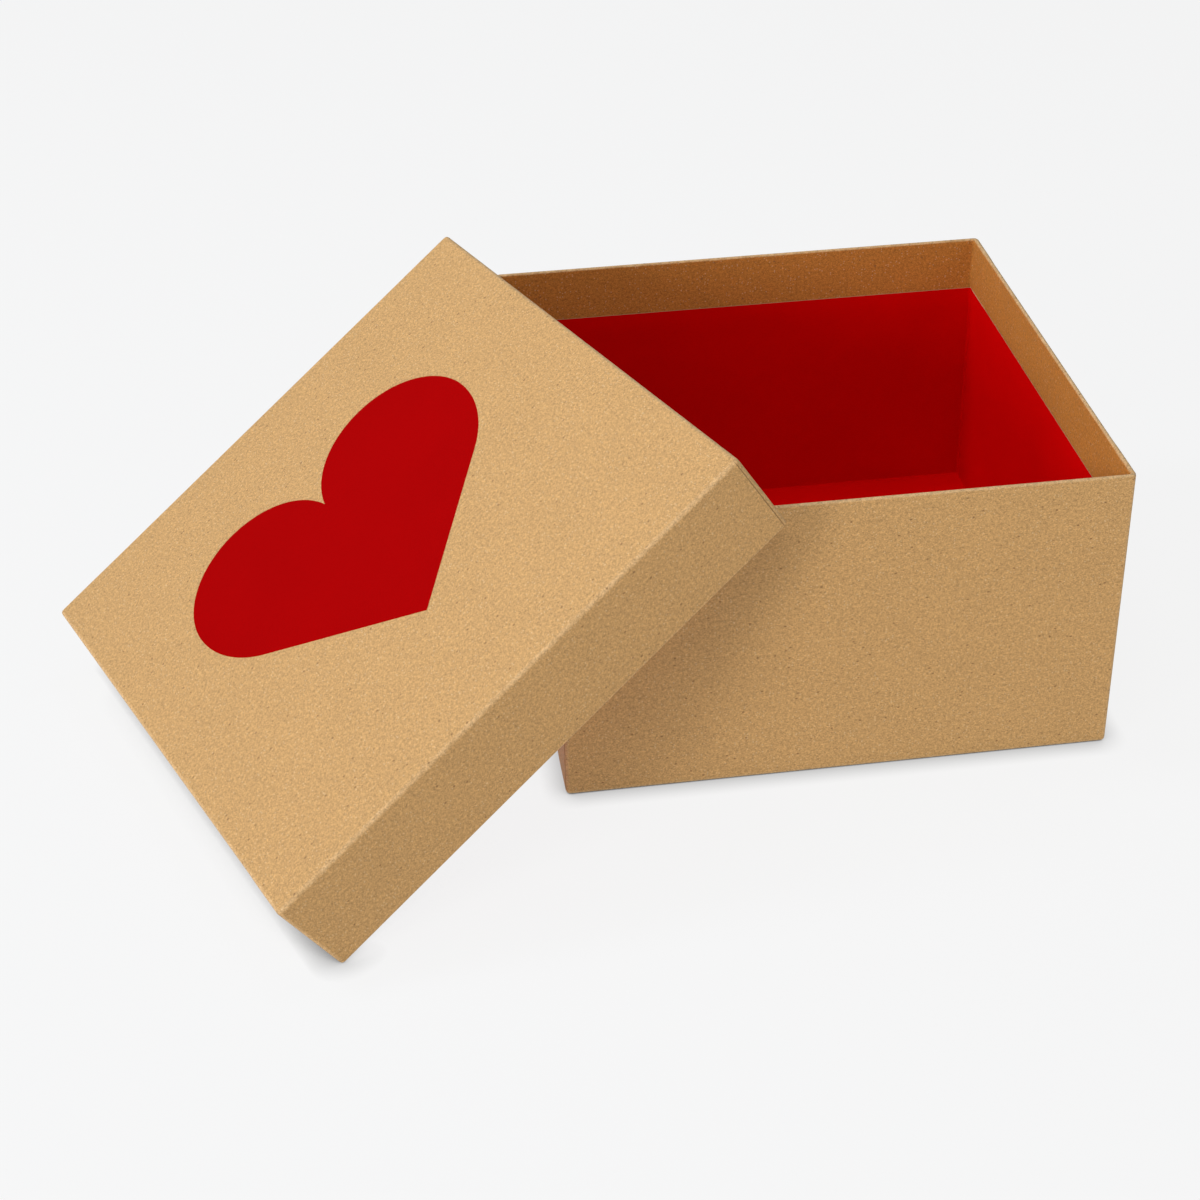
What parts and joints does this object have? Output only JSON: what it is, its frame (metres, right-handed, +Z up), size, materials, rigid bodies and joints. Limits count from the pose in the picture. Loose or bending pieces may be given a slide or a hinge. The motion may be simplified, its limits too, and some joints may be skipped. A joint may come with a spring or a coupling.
{
  "type": "gift box",
  "caption": "Square two-piece rigid gift box of paper-covered board, with an open lined base and a shallow lift-off lid that leans on it, a plain heart on its top.",
  "frame": {"origin": "centre of the base's underside, on the surface that the box stands on", "axes": "+Z up out of the open base, -Y out of the base's front wall, +X to the right; the lid leans at the left of the front"},
  "size_m": [0.3412, 0.2561, 0.1296],
  "materials": {
    "kraft_paper": "matte",
    "red_lining": "matte",
    "red_ink": "matte",
    "greyboard": "matte",
    "corner_tape": "matte"
  },
  "bodies": {
    "base": {"base_board": "greyboard", "base_corner_tape_front_left": "corner_tape", "base_corner_tape_front_right": "corner_tape", "base_corner_tape_back_left": "corner_tape", "base_corner_tape_back_right": "corner_tape", "base_wrap": "kraft_paper", "base_lining": "red_lining"},
    "lid": {"lid_board": "greyboard", "lid_corner_tape_front_left": "corner_tape", "lid_corner_tape_front_right": "corner_tape", "lid_corner_tape_back_left": "corner_tape", "lid_corner_tape_back_right": "corner_tape", "lid_wrap": "kraft_paper", "lid_lining": "red_lining", "lid_heart_print": "red_ink"}
  },
  "joints": [
    {"name": "lid_lift", "type": "slide", "parent": "base", "child": "lid", "axis": [-0.5139, -0.2076, 0.8324], "range_m": [0, 0.15]}
  ]
}
